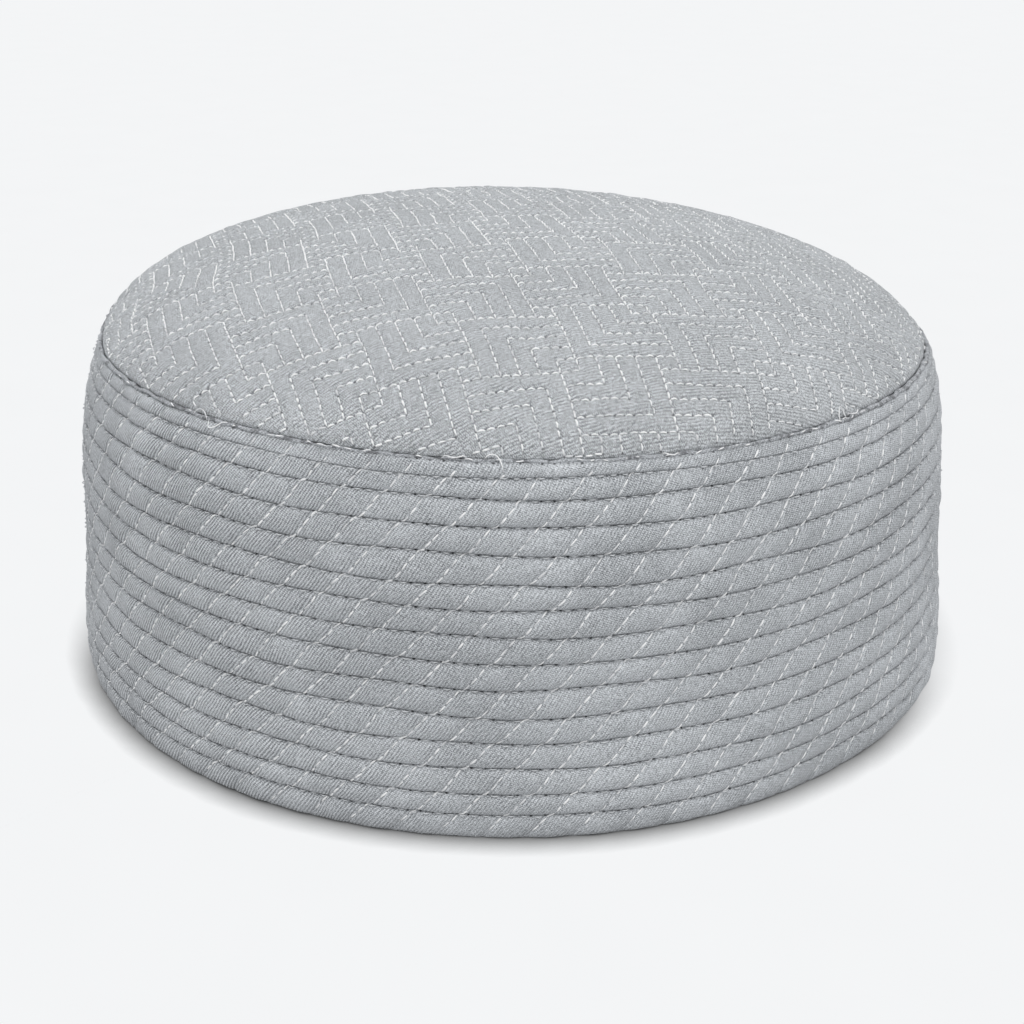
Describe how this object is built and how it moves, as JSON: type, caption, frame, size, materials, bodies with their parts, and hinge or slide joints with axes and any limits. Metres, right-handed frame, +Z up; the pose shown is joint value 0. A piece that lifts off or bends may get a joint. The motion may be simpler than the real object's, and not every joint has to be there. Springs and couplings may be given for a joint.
{
  "type": "kufi cap",
  "caption": "Round brimless quilted cloth cap with an upright ribbed side band and a low domed crown, open underneath for the head.",
  "frame": {"origin": "middle of the rim's underside, on the surface that the cap stands on", "axes": "+Z up through the crown, -Y towards the front as pictured, +X to the viewer's right there"},
  "size_m": [0.193, 0.193, 0.0914],
  "materials": {
    "band_cloth": "matte light grey cotton twill, cord-quilted in sewn rows",
    "crown_cloth": "matte light grey cotton twill, quilted in nested right angles",
    "white_thread": "slightly shiny off-white sewing thread",
    "grey_thread": "matte grey sewing thread, sunk in the grooves"
  },
  "bodies": {
    "root": {"side_band": "band_cloth", "crown": "crown_cloth"}
  },
  "joints": []
}
